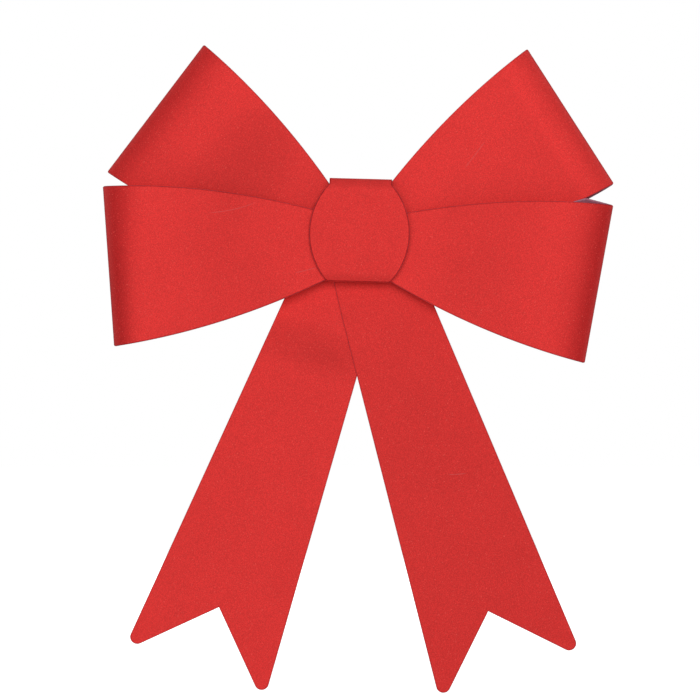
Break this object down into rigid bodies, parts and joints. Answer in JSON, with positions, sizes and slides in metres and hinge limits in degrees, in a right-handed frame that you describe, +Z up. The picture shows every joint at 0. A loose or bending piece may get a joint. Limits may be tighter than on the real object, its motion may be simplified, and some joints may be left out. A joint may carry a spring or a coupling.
{
  "type": "gift bow",
  "caption": "Gift bow of folded velvet-faced sheet loops and swallow tails on a riveted knot, with a barrel band and a twist tie behind for fastening.",
  "frame": {"origin": "centre of the rivet's flat rear face, the rearmost point of the knot, which rests on what the bow decorates", "axes": "+Z up the bow, -Y out of its front, +X to the right as seen from the front"},
  "size_m": [0.2302, 0.0321, 0.2921],
  "materials": {
    "red_velvet": "matt flocked velvet on plastic sheet",
    "rivet_steel": "plain zinc plated",
    "tie_plastic": "satin",
    "tie_wire_steel": "bare cut wire"
  },
  "bodies": {
    "knot": {"knot_band": "red_velvet", "centre_rivet": "rivet_steel", "rivet_washer": "rivet_steel", "band_staple": "rivet_steel", "tie_middle_coating": "tie_plastic", "tie_middle_wire": "tie_wire_steel"},
    "upper_left_loop": {"upper_left_loop": "red_velvet"},
    "upper_right_loop": {"upper_right_loop": "red_velvet"},
    "lower_left_loop": {"lower_left_loop": "red_velvet"},
    "lower_right_loop": {"lower_right_loop": "red_velvet"},
    "left_tail": {"left_tail": "red_velvet"},
    "right_tail": {"right_tail": "red_velvet"},
    "tie_left_lead": {"tie_left_coating": "tie_plastic", "tie_left_wire": "tie_wire_steel"},
    "tie_right_lead": {"tie_right_coating": "tie_plastic", "tie_right_wire": "tie_wire_steel"}
  },
  "joints": [
    {"name": "upper_left_loop_fan", "type": "hinge", "parent": "knot", "child": "upper_left_loop", "pos_m": [0, 0, 0], "axis": [0, 1, 0], "range_deg": [-10, 2]},
    {"name": "upper_right_loop_fan", "type": "hinge", "parent": "knot", "child": "upper_right_loop", "pos_m": [0, 0, 0], "axis": [0, -1, 0], "range_deg": [-10, 0]},
    {"name": "lower_left_loop_fan", "type": "hinge", "parent": "knot", "child": "lower_left_loop", "pos_m": [0, 0, 0], "axis": [0, -1, 0], "range_deg": [-10, 1]},
    {"name": "lower_right_loop_fan", "type": "hinge", "parent": "knot", "child": "lower_right_loop", "pos_m": [0, 0, 0], "axis": [0, 1, 0], "range_deg": [-10, 1]},
    {"name": "left_tail_spread", "type": "hinge", "parent": "knot", "child": "left_tail", "pos_m": [0, 0, 0], "axis": [0, 1, 0], "range_deg": [-8, 12]},
    {"name": "right_tail_spread", "type": "hinge", "parent": "knot", "child": "right_tail", "pos_m": [0, 0, 0], "axis": [0, -1, 0], "range_deg": [-8, 12]},
    {"name": "tie_left_bend", "type": "hinge", "parent": "knot", "child": "tie_left_lead", "pos_m": [-0.0182, -0.00505, 0.013], "axis": [0, 0, -1], "range_deg": [0, 88]},
    {"name": "tie_right_bend", "type": "hinge", "parent": "knot", "child": "tie_right_lead", "pos_m": [0.0182, -0.00505, 0.013], "axis": [0, 0, 1], "range_deg": [0, 88]}
  ]
}
